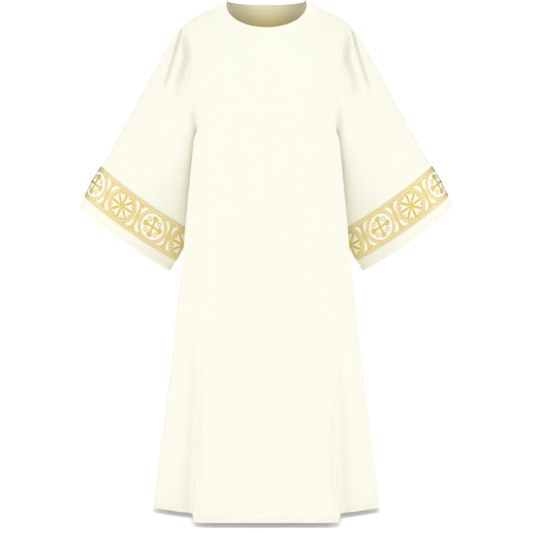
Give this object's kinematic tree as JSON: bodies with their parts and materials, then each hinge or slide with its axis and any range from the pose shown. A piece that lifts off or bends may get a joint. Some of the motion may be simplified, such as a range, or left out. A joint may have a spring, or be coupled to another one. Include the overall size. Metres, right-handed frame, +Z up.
{
  "type": "dalmatic",
  "caption": "Wide-sleeved, ankle-length ivory tunic, hollow as worn, with a round neck, a flared skirt with soft side folds and a gold woven band of roundels round each sleeve.",
  "frame": {"origin": "midway between the two points where the shoulder seams meet the neckline, which rest on the wearer's shoulders", "axes": "+Z up, the front of the garment faces -Y, +X is the wearer's left"},
  "size_m": [0.9698, 0.396, 1.318],
  "materials": {
    "cloth": "matte, fine plain weave",
    "galloon": "satin, woven gold thread on white"
  },
  "bodies": {
    "root": {"front_panel": "cloth", "back_panel": "cloth", "sleeve_left": "cloth", "sleeve_right": "cloth", "neck_facing": "cloth", "galloon_left": "galloon", "galloon_right": "galloon"}
  },
  "joints": []
}
